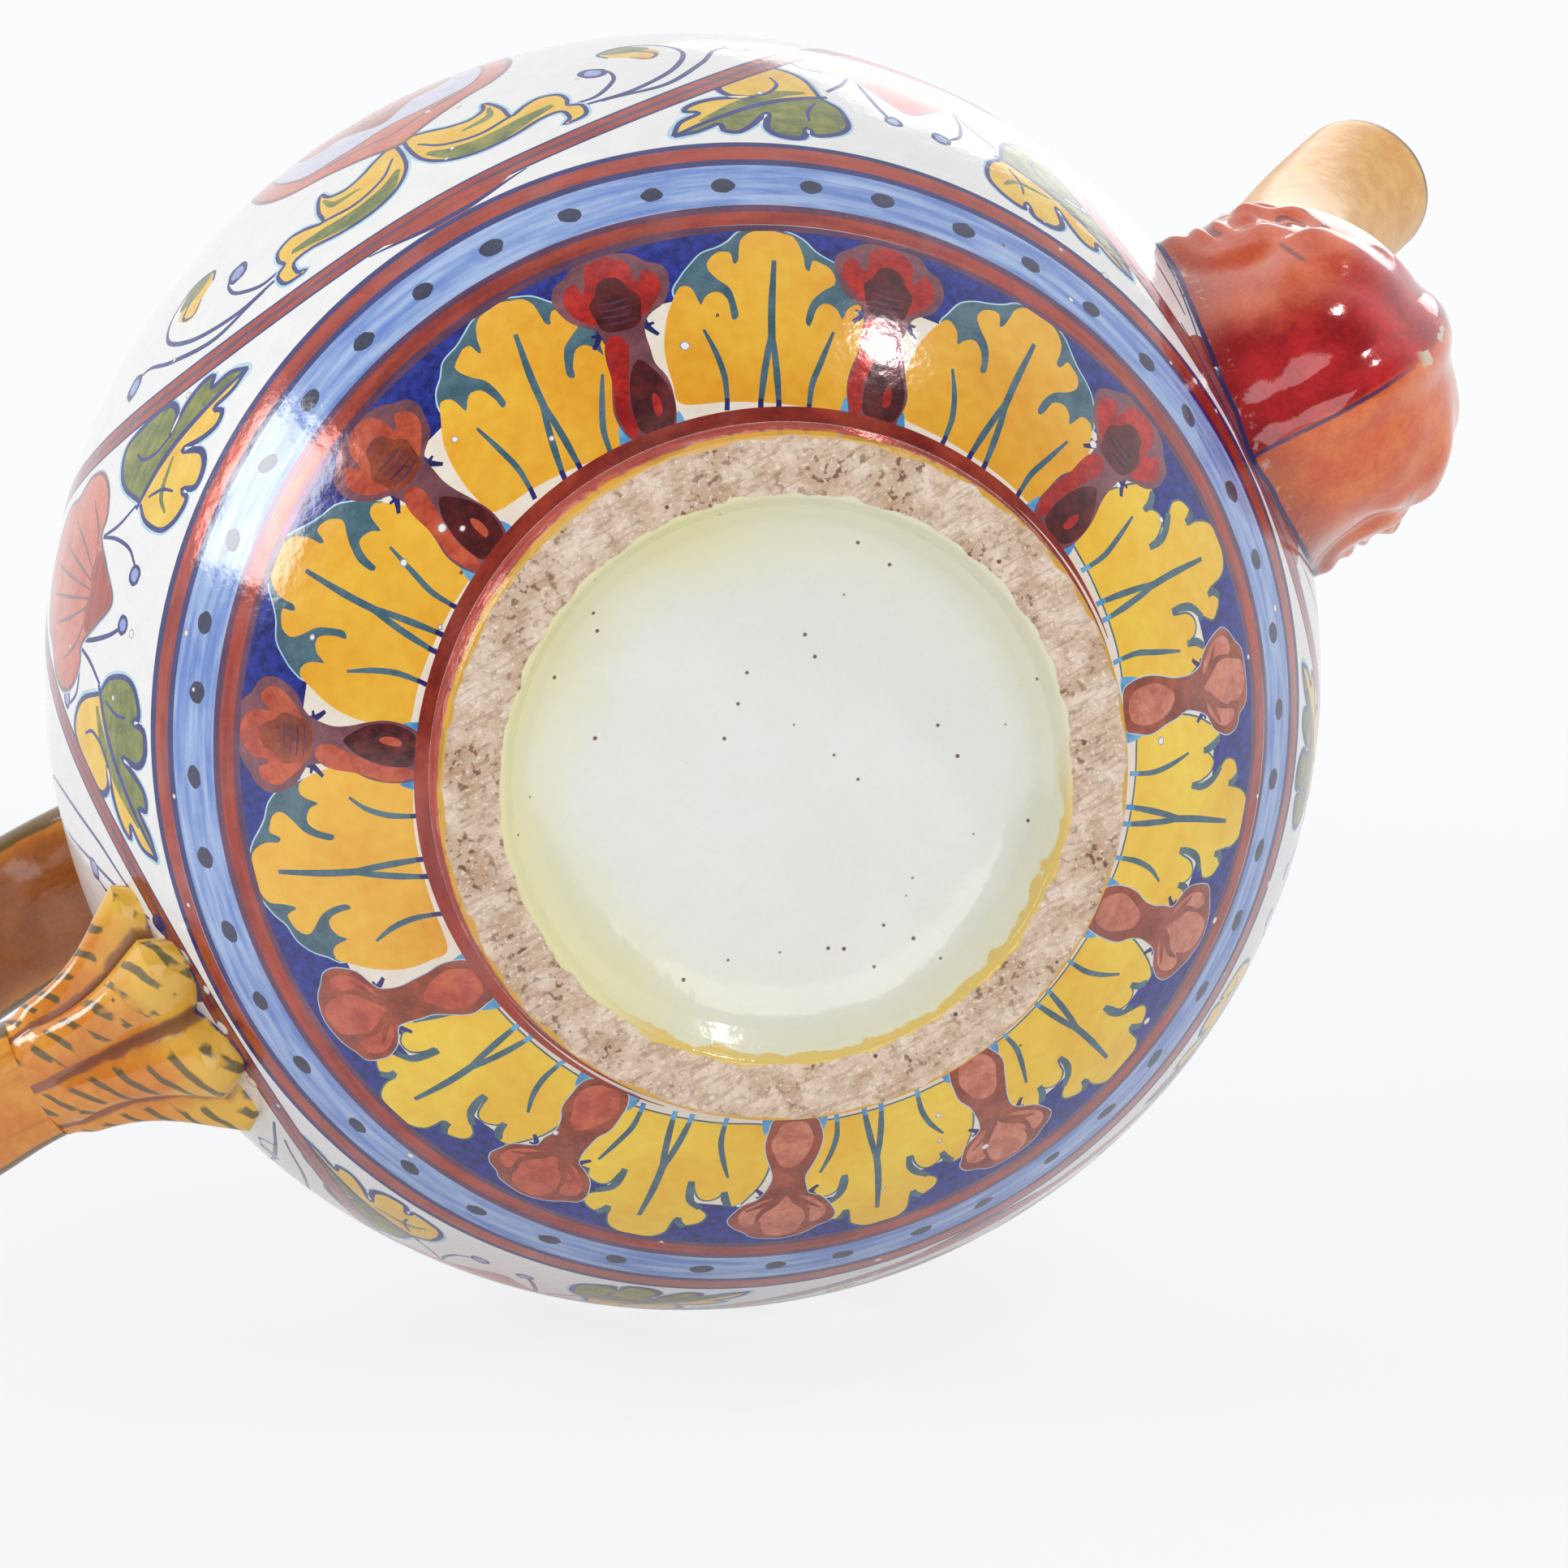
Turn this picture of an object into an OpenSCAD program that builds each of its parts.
// Round-bellied lustre teapot: a thrown pot on a foot ring, with a moulded mask at the root of its spout,
// a strap handle that springs from an acanthus leaf, and a lid that lifts off.
// The origin is the centre of the foot ring, on the surface that the pot stands on.
// The spout points to +X and the handle to -X.

/* [Belly] */
// Outer radius of the belly at its widest line
belly_r = 78.5; // [70:0.5:90]
// Height of the widest line above the table
belly_z = 76; // [66:1:90]
// Thickness of the thrown wall
wall = 4.5; // [3.5:0.25:6]
// Thickness of the floor inside the foot
floor_t = 5; // [4:0.5:8]
// Height of the shoulder, where the neck is set on
shoulder_z = 136; // [122:1:150]

/* [Foot] */
// Outer radius of the foot ring on the table
foot_r = 36.6; // [30:0.2:44]
// Height of the foot ring
foot_h = 6; // [4:0.5:9]
// Width of the bare clay face that touches the table
foot_face = 6.3; // [4:0.1:9]
// How far the glazed side of the ring flares out towards the belly
foot_flare = 0.8; // [0:0.1:2]
// How far the inside of the ring slopes in towards the floor
foot_slope = 3.4; // [1:0.2:5]

/* [Neck] */
// Radius of the mouth
mouth_r = 33; // [28:0.5:38]
// Thickness of the neck collar
collar_t = 5; // [3.5:0.25:7]
// Height of the neck collar
collar_h = 7; // [4:0.5:12]
// How far the rolled lip of the collar stands out
lip = 1.6; // [0.5:0.1:3]

/* [Spout mask] */
// How far the boss centre lies outside the widest line of the belly
mask_set = 0.5; // [-3:0.5:4]
// Height of the boss centre
mask_z = 63; // [58:0.5:68]
// How far the boss stands out from its centre
mask_out = 21.5; // [20:0.5:26]
// Half width of the boss
mask_half_w = 20.5; // [18:0.5:23]
// Half height of the boss
mask_half_h = 28; // [25:0.5:32]
// Height of a face, crown to chin
face_h = 27; // [22:0.5:30]
// How far the middle of a face lies outside the boss centre
face_set = 9; // [6:0.5:12]
// How far the middle of a face lies below the boss centre
face_drop = 4.5; // [0:0.5:8]
// Depth of the modelled relief
relief = 2.7; // [1:0.1:3.5]
// Height of the mould seam along the underside
seam_h = 1.4; // [0.5:0.1:2.5]

/* [Spout tube] */
// Outer radius at the root
tube_root_r = 10.2; // [9:0.1:10.8]
// Outer radius at the tip
tube_tip_r = 10.8; // [8.5:0.1:11.5]
// Thickness of the tube wall
tube_wall = 2.6; // [2:0.1:3.5]
// Reach of the tip beyond the widest line of the belly
tip_out = 50.5; // [44:0.5:58]
// Height of the tip
tip_z = 160; // [150:1:170]
// Lean of the root from upright, in degrees
root_lean = 8; // [5:1:14]
// Lean of the tip from upright, in degrees
tip_lean = 46; // [36:1:54]
// Radius of one strainer hole in the belly wall
strainer_r = 2.25; // [1.5:0.25:2.75]
// Radius of the ring of strainer holes
strainer_ring = 7; // [6.5:0.25:7.5]

/* [Handle] */
// Height of the lower joint on the belly
low_z = 45; // [40:1:49]
// Height of the upper joint on the belly
high_z = 122; // [114:1:128]
// Greatest reach of the handle beyond the widest line of the belly
handle_out = 42.5; // [34:0.5:52]
// Rise of the top arch above the upper joint
arch_rise = 46; // [38:1:54]
// Width of the strap at its lower end
strap_low_w = 18; // [14:0.5:20]
// Width of the strap at its top
strap_top_w = 23; // [18:0.5:27]
// Thickness of the strap
strap_t = 9.5; // [7:0.25:12]

/* [Handle leaf] */
// Length of the leaf sheath, out from the belly
leaf_len = 17; // [13:0.5:22]
// Half width of the leaf where it spreads on the belly
leaf_half_w = 20; // [16:0.5:24]
// Half height of the leaf where it spreads on the belly
leaf_half_h = 12.5; // [11:0.5:16]
// Number of lobes round the leaf
leaf_lobes = 7; // [5:1:9]
// Depth of the furrows between the lobes
leaf_furrow = 3; // [1:0.1:3.5]

/* [Lid] */
// How far the lid overhangs the neck collar
lid_overhang = 1.2; // [0:0.1:4]
// Height of the lid's rim band
lid_rim_h = 2.6; // [1.5:0.1:4]
// Rise of the dome above its rim band
dome_rise = 15; // [10:0.5:22]
// Wall of the dome
dome_wall = 4; // [3:0.25:5]
// Depth of the locating flange below the rim
flange_h = 11; // [7:0.5:16]
// Wall of the locating flange
flange_t = 3.5; // [2.5:0.25:5]
// Gap between the flange and the mouth
flange_gap = 0.8; // [0.4:0.1:1.5]
// Radius of the steam hole
steam_r = 1.6; // [1:0.1:2.5]

/* [Knob] */
// Radius of the knob's seat on the lid
knob_seat_r = 7.5; // [6:0.25:10]
// Radius of the knob's waist
knob_waist_r = 4.6; // [3.5:0.1:6]
// Radius of the knob's bulb
knob_r = 10; // [8:0.25:13]
// Height of the knob
knob_h = 23; // [18:0.5:30]

/* [Hidden] */
$fn = 96;

// Colours of the glazes and of the bare clay
tin_white = [0.93, 0.93, 0.90];
bare_clay = [0.66, 0.54, 0.43];
ochre = [0.80, 0.50, 0.14];
ruby = [0.62, 0.14, 0.09];
lid_white = [0.90, 0.90, 0.86];

// Room that the wet slip takes up in a luted socket
slip = 0.2;
// Steps of the turned outlines
turn_steps = 36;
// Overlap that lets a cutter pass through a face
through = 1;

// Belly outline: two quarter ellipses that meet at the widest line
join_r = foot_r + foot_flare;
neck_r = mouth_r + collar_t;
belly_drop = (belly_z - foot_h) / sqrt(1 - pow(join_r / belly_r, 2));
belly_rise = (shoulder_z - belly_z) / sqrt(1 - pow(neck_r / belly_r, 2));
function belly_point(angle, inset = 0) = [
    (belly_r - inset) * cos(angle),
    belly_z + ((angle < 0 ? belly_drop : belly_rise) - inset) * sin(angle)
];
function belly_radius(z) =
    belly_r * sqrt(1 - pow((z - belly_z) / (z < belly_z ? belly_drop : belly_rise), 2));
function arc_points(from, to, inset = 0) = [
    for (i = [0 : turn_steps]) belly_point(from + (to - from) * i / turn_steps, inset)
];
foot_angle = -acos(join_r / belly_r);
neck_angle = acos(neck_r / belly_r);
floor_z = foot_h + floor_t;
floor_angle = asin((floor_z - belly_z) / (belly_drop - wall));
mouth_angle = acos(mouth_r / (belly_r - wall));

// Heights that stack up on the shoulder
collar_top = shoulder_z + collar_h;
lid_r = neck_r + lip + lid_overhang;
flange_r = mouth_r - flange_gap;
dome_base = collar_top + lid_rim_h;

// Centres of the spout boss and of its faces, and the ends of the spout and the handle
mask_x = belly_r + mask_set;
face_x = mask_x + face_set;
face_z = mask_z - face_drop;
tip_x = belly_r + tip_out;
reach = belly_r + handle_out;

// Small vector helpers
function unit(v) = v / norm(v);
function mix(a, b, t) = a + (b - a) * t;
function smooth(t) = let (s = min(1, max(0, t))) s * s * (3 - 2 * s);
function bezier(p, t) =
    p[0] * pow(1 - t, 3) + 3 * p[1] * pow(1 - t, 2) * t + 3 * p[2] * (1 - t) * t * t + p[3] * pow(t, 3);
function bezier_slope(p, t) =
    3 * (p[1] - p[0]) * pow(1 - t, 2) + 6 * (p[2] - p[1]) * (1 - t) * t + 3 * (p[3] - p[2]) * t * t;

// Faces between ring i and the next one, in a skin of rings with n points each
function band(i, n) = [
    for (j = [0 : n - 1]) let (
        a = i * n + j, b = i * n + (j + 1) % n, c = a + n, d = b + n
    ) each [[a, d, b], [a, c, d]]
];
// Closed skin over a list of rings, with a flat cap at both ends
module skin(rings) {
    n = len(rings[0]);
    last = len(rings) - 1;
    bands = [for (i = [0 : last - 1]) each band(i, n)];
    first_cap = [for (j = [0 : n - 1]) j];
    last_cap = [for (j = [n - 1 : -1 : 0]) last * n + j];
    polyhedron(points = [for (ring = rings) each ring], faces = concat(bands, [first_cap, last_cap]));
}
// Closed skin over a list of rings that ends in a single point at both ends
module pole_skin(first, rings, last) {
    n = len(rings[0]);
    count = len(rings);
    end = count * n;
    bands = [for (i = [0 : count - 2]) each band(i, n)];
    first_fan = [for (j = [0 : n - 1]) [end, j, (j + 1) % n]];
    last_fan = [for (j = [0 : n - 1]) [end + 1, end - n + (j + 1) % n, end - n + j]];
    polyhedron(
        points = concat([for (ring = rings) each ring], [first, last]),
        faces = concat(bands, first_fan, last_fan)
    );
}
// A point that lies u to the side and v off a path in the spout and handle plane
function beside(at, along, u, v) =
    [at[0] - along[1] * v, u, at[1] + along[0] * v];

// Solid that the outside of the belly fills, for cutting whatever is luted onto it
module belly_solid() {
    rotate_extrude()
        polygon(concat([[0, foot_h]], arc_points(foot_angle, neck_angle), [[0, shoulder_z]]));
}

// Body: the thrown pot with its pierced strainer
module body_shell() {
    outside = arc_points(foot_angle, neck_angle);
    inside = arc_points(mouth_angle, floor_angle, wall);
    color(tin_white)
    difference() {
        rotate_extrude()
            polygon(concat([[0, foot_h]], outside, [[mouth_r, shoulder_z]], inside, [[0, floor_z]]));
        for (hole = strainer_holes())
            translate([mask_x - chamber_r - wall, hole[0], hole[1]])
                rotate([0, 90, 0])
                    cylinder(r = strainer_r, h = mask_out + chamber_r);
    }
}
// One hole in the middle and six round it
function strainer_holes() = concat(
    [[0, chamber_z]],
    [for (a = [0 : 60 : 300]) [strainer_ring * cos(a), chamber_z + strainer_ring * sin(a)]]
);

// Foot: the turned ring that carries the pot, with its bare clay face down
module foot_ring() {
    inner = foot_r - foot_face;
    bend = 0.4;
    color(bare_clay)
    rotate_extrude()
        polygon([
            [inner, 0],
            [foot_r, 0],
            [join_r, foot_h],
            [inner - foot_slope, foot_h],
            [inner - foot_slope * bend, foot_h * bend]
        ]);
}

// Neck: the collar with a rolled lip that the lid sits on
module neck_collar() {
    roll_z = collar_top - lip;
    roll = [for (a = [-90 : 15 : 90]) [neck_r + lip * cos(a), roll_z + lip * sin(a)]];
    color(tin_white)
    rotate_extrude()
        polygon(concat([[mouth_r, shoulder_z], [neck_r, shoulder_z]], roll, [[mouth_r, collar_top]]));
}

// Spout path, in the spout and handle plane
root_along = [sin(root_lean), cos(root_lean)];
tip_along = [sin(tip_lean), cos(tip_lean)];
// Gap between the tube and the belly, height of the tube's end over the boss centre, and how fully it bends
root_clear = 1.2;
root_rise = 3;
tube_bend = 0.42;
strainer_margin = 1.25;
root_at = [belly_r + root_clear + tube_root_r * cos(root_lean), mask_z + root_rise];
tip_at = [tip_x, tip_z];
tube_pull = norm(tip_at - root_at) * tube_bend;
tube_path = [root_at, root_at + root_along * tube_pull, tip_at - tip_along * tube_pull, tip_at];
chamber_r = strainer_ring + strainer_r + strainer_margin;
chamber_rise = 2;
chamber_z = mask_z + chamber_rise;
bore_r = tube_root_r - tube_wall;
chamber_end = root_at[0] + bore_r / 2;
tube_steps = 16;
tube_sides = 24;
function tube_ring(t, inset) = let (
    at = bezier(tube_path, t),
    along = unit(bezier_slope(tube_path, t)),
    r = mix(tube_root_r, tube_tip_r, t) - inset
) [for (j = [0 : tube_sides - 1]) let (a = 360 * j / tube_sides) beside(at, along, r * cos(a), r * sin(a))];

// Spout: the tapering tube, open at both ends
module spout_tube() {
    outer = [for (i = [0 : tube_steps]) tube_ring(i / tube_steps, 0)];
    inner = [for (i = [tube_steps : -1 : 0]) tube_ring(i / tube_steps, tube_wall)];
    rings = concat(outer, inner, [tube_ring(0, 0)]);
    n = tube_sides;
    count = len(rings) - 1;
    faces = [for (i = [0 : count - 1]) each [for (f = band(i, n)) [for (v = f) v % (count * n)]]];
    color(ochre)
    polyhedron(points = [for (i = [0 : count - 1]) each rings[i]], faces = faces);
}

// Features of a face, each a soft lump: height, place from chin to crown, place across, spread both ways.
// Places and spreads are shares of the face height, and heights are shares of the relief.
forehead = [0.35, 0.20, 0, 0.16, 0.24];
brow = [0.30, 0.10, 0.15, 0.05, 0.12];
eye_socket = [-0.55, 0.02, 0.145, 0.075, 0.09];
eyelid = [0.45, 0.01, 0.15, 0.042, 0.07];
nose_bridge = [0.45, 0.04, 0, 0.11, 0.065];
nose = [0.95, -0.115, 0, 0.085, 0.07];
nostril = [0.35, -0.15, 0.08, 0.045, 0.045];
cheek = [0.50, -0.13, 0.21, 0.13, 0.11];
muzzle = [0.40, -0.30, 0, 0.10, 0.16];
upper_lip = [0.26, -0.262, 0, 0.034, 0.12];
mouth_line = [-0.30, -0.305, 0, 0.018, 0.12];
lower_lip = [0.30, -0.35, 0, 0.036, 0.095];
chin = [0.60, -0.45, 0, 0.065, 0.10];
features = [forehead, brow, eye_socket, eyelid, nose_bridge, nose, nostril, cheek, muzzle,
    upper_lip, mouth_line, lower_lip, chin];
function lump(f, p, side) = f[0] * exp(-pow((p - f[1]) / f[3], 2) - pow((side - f[2]) / f[4], 2));
function total(list, i = 0) = i < len(list) ? list[i] + total(list, i + 1) : 0;
// Oval of the face, outside which the hair begins: half its height and half its width
face_oval = [0.50, 0.36];
// Hair: height of the locks and of the furrows between them, how many to a full turn, and how they curl
lock_height = 0.75;
lock_furrow = 0.35;
lock_count = 7;
lock_curl = 120;
// The locks start at the oval, reach out to a larger one, and end beside the jaw: place and blend of each
hair_start = [0.88, 0.2];
hair_reach = [1.9, 0.4];
hair_end = [122, 25];
function hair(oval, turn) = let (
    lock = (1 + cos(turn * lock_count + lock_curl * oval)) / 2
) lock_height * mix(lock_furrow, 1, lock) * smooth((oval - hair_start[0]) / hair_start[1])
    * smooth((hair_reach[0] - oval) / hair_reach[1]) * smooth((hair_end[0] - turn) / hair_end[1]);
// The cheeks fall away below the jaw: depth, and the place and blend of the fall on the oval and round it
jaw_drop = 0.5;
jaw_oval = [0.92, 0.25];
jaw_turn = [105, 25];
function jaw(oval, turn) =
    -jaw_drop * smooth((oval - jaw_oval[0]) / jaw_oval[1]) * smooth((turn - jaw_turn[0]) / jaw_turn[1]);
// Relief at p from chin to crown and side from the middle of the face
function face_relief(p, side) = let (
    oval = norm([p / face_oval[0], side / face_oval[1]]),
    turn = atan2(side, p)
) total([for (f = features) lump(f, p, side)]) + hair(oval, turn) + jaw(oval, turn);

mask_rings = 22;
mask_sides = 56;
// Fullness of the sides: 1 gives an egg, less gives flatter flanks
mask_full = 0.8;
// The points crowd towards the outer end, where the faces are
crowding = 28;
// Ring angle at which the mould seam starts to rise, and the share of the swell over which the relief fades
seam_start = 80;
relief_fade = [0.15, 0.45];
// Point of one half of the boss: ring angle i from the flank to the mould seam, and turn j round the flank
function mask_point(i, j, hand) = let (
    seam = 1 + seam_h * smooth((i - seam_start) / (90 - seam_start)) / mask_out,
    x = mask_x + mask_out * sin(i) * cos(j) * seam,
    z = mask_z + mask_half_h * sin(i) * sin(j) * seam,
    swell = pow(max(0, cos(i)), mask_full),
    height = relief * face_relief((x - face_x) / face_h, abs(z - face_z) / face_h),
    fade = smooth((swell - relief_fade[0]) / relief_fade[1])
) [x, hand * (mask_half_w * swell + height * fade), z];
function mask_ring(i, hand) = [
    for (k = [0 : mask_sides - 1]) let (a = 360 * k / mask_sides) mask_point(i, a - crowding * sin(a), hand)
];

// Mask: the moulded boss with a face on either side, hollow for the tea
module spout_mask() {
    step = 90 / mask_rings;
    near = [for (i = [1 : mask_rings]) mask_ring(i * step, -1)];
    far = [for (i = [mask_rings - 1 : -1 : 1]) mask_ring(i * step, 1)];
    color(ruby)
    difference() {
        pole_skin(mask_point(0, 0, -1), concat(near, far), mask_point(0, 0, 1));
        belly_solid();
        translate([0, 0, chamber_z])
            rotate([0, 90, 0])
                cylinder(r = chamber_r, h = chamber_end);
        translate([root_at[0], 0, root_at[1]])
            rotate([0, root_lean, 0])
                translate([0, 0, chamber_z - root_at[1]])
                    cylinder(r = bore_r, h = root_at[1] - chamber_z + through);
        skin([for (i = [0 : tube_steps]) tube_ring(i / tube_steps, -slip)]);
    }
}

// Handle path, as two curves that meet at the greatest reach
belly_low = belly_radius(low_z);
belly_high = belly_radius(high_z);
set_in = 8;
low_droop = 2;
low_swell = 8;
// Shares that set the curves: height of the greatest reach, swell of the arch, and pull of the lower and top ends
reach_share = 0.6;
arch_share = 0.65;
low_pull = 0.55;
top_pull = 0.35;
handle_mid_z = mix(low_z, high_z, reach_share);
arch_swell = arch_rise * arch_share;
handle_low = [
    [-(belly_low - set_in), low_z],
    [-mix(belly_low, reach, low_pull), low_z - low_droop],
    [-reach, low_z + low_swell],
    [-reach, handle_mid_z]
];
handle_high = [
    [-reach, handle_mid_z],
    [-reach, high_z + arch_swell],
    [-mix(belly_high, reach, top_pull), high_z + arch_rise],
    [-(belly_high - set_in), high_z - set_in]
];
strap_sides = 20;
strap_steps = 18;
strap_round = 0.8;
// Ring of a rounded strap: half width a, half thickness b
function strap_ring(at, along, a, b) = [
    for (j = [0 : strap_sides - 1]) let (
        turn = 360 * j / strap_sides,
        c = cos(turn),
        s = sin(turn)
    ) beside(at, along, a * sign(c) * pow(abs(c), strap_round), b * sign(s) * pow(abs(s), strap_round))
];
// Where the leaf sheath ends on the lower curve
leaf_end = belly_low + leaf_len;
halvings = 24;
function leaf_turn(from = 0, to = 1, step = 0) = let (t = (from + to) / 2)
    step > halvings ? t
    : -bezier(handle_low, t)[0] < leaf_end ? leaf_turn(t, to, step + 1) : leaf_turn(from, t, step + 1);
leaf_t = leaf_turn();

// Strap: pulled handle from the leaf sheath round to the shoulder
module handle_strap() {
    low = [
        for (i = [0 : strap_steps]) let (t = mix(leaf_t, 1, i / strap_steps), u = i / strap_steps / 2)
            strap_ring(bezier(handle_low, t), unit(bezier_slope(handle_low, t)),
                mix(strap_low_w, strap_top_w, smooth(u)) / 2, strap_t / 2)
    ];
    high = [
        for (i = [1 : strap_steps]) let (t = i / strap_steps, u = 0.5 + t / 2)
            strap_ring(bezier(handle_high, t), unit(bezier_slope(handle_high, t)),
                mix(strap_low_w, strap_top_w, smooth(u)) / 2, strap_t / 2)
    ];
    color(ochre)
    difference() {
        skin(concat(low, high));
        belly_solid();
    }
}

leaf_steps = 14;
leaf_sides = 56;
leaf_proud = 1.2;
leaf_flare = 1.6;
leaf_start = 0.15;
// Ring of the leaf: u is 0 on the strap and 1 inside the belly wall
function leaf_ring(u) = let (
    t = mix(leaf_t, 0, u),
    at = bezier(handle_low, t),
    along = unit(bezier_slope(handle_low, t)),
    spread = pow(u, leaf_flare),
    a = mix(strap_low_w / 2 + leaf_proud, leaf_half_w, spread),
    b = mix(strap_t / 2 + leaf_proud, leaf_half_h, spread),
    depth = leaf_furrow * smooth(leaf_start + u)
) [
    for (j = [0 : leaf_sides - 1]) let (
        turn = 360 * j / leaf_sides,
        lobe = depth * (abs(cos((turn + 90) * leaf_lobes / 2)) - 1)
    ) beside(at, along, (a + lobe) * cos(turn), (b + lobe) * sin(turn))
];
// Leaf: the acanthus sheath that spreads on the belly and holds the strap
module handle_leaf() {
    color(ochre)
    difference() {
        skin([for (i = [leaf_steps : -1 : 0]) leaf_ring(i / leaf_steps)]);
        belly_solid();
    }
}

// Lid: the dome with its rim band and steam hole
dome_inner_r = flange_r - flange_t;
function dome_points(r, rise) = [for (i = [0 : turn_steps / 2]) let (a = 90 * i / (turn_steps / 2))
    [r * cos(a), dome_base + rise * sin(a)]];
steam_share = 0.35;
steam_at = mix(knob_seat_r, dome_inner_r, steam_share);
module lid_dome() {
    outside = dome_points(lid_r, dome_rise);
    inside = dome_points(dome_inner_r, dome_rise - dome_wall);
    seat_z = dome_seat();
    color(lid_white)
    difference() {
        rotate_extrude()
            polygon(concat(
                [[dome_inner_r, collar_top], [lid_r, collar_top]],
                [for (p = outside) if (p[0] > knob_seat_r) p],
                [[knob_seat_r, seat_z], [0, seat_z]],
                [for (i = [len(inside) - 1 : -1 : 0]) inside[i]]
            ));
        translate([-steam_at, 0, dome_base])
            cylinder(r = steam_r, h = dome_rise + through);
    }
}
// Flat on top of the dome that the knob is set on
function dome_seat() = dome_base + dome_rise * sqrt(1 - pow(knob_seat_r / lid_r, 2));

// Flange: the ring under the dome that keeps the lid in the mouth
module lid_flange() {
    color(lid_white)
    translate([0, 0, collar_top - flange_h])
        difference() {
            cylinder(r = flange_r, h = flange_h);
            translate([0, 0, -through])
                cylinder(r = flange_r - flange_t, h = flange_h + 2 * through);
        }
}

// Knob: a turned finial with a waist, a bulb and a small tip, at shares of its height
knob_foot = 0.07;
knob_waist = 0.18;
knob_bulb = 0.58;
knob_swell = 0.30;
knob_tip = 0.16;
tip_share = 0.6;
module lid_knob() {
    seat_z = dome_seat();
    tip_r = knob_waist_r * tip_share;
    bulb = [
        for (a = [-60 : 10 : 70]) [knob_r * cos(a), seat_z + knob_h * (knob_bulb + knob_swell * sin(a))]
    ];
    tip = [
        for (a = [0 : 15 : 90]) [tip_r * cos(a), seat_z + knob_h * (1 - knob_tip * (1 - sin(a)))]
    ];
    foot = [
        [0, seat_z],
        [knob_seat_r, seat_z],
        [knob_seat_r, seat_z + knob_h * knob_foot],
        [knob_waist_r, seat_z + knob_h * knob_waist]
    ];
    color(ochre)
    rotate_extrude()
        polygon(concat(foot, bulb, tip));
}

body_shell();
foot_ring();
neck_collar();
spout_mask();
spout_tube();
handle_strap();
handle_leaf();
lid_dome();
lid_flange();
lid_knob();
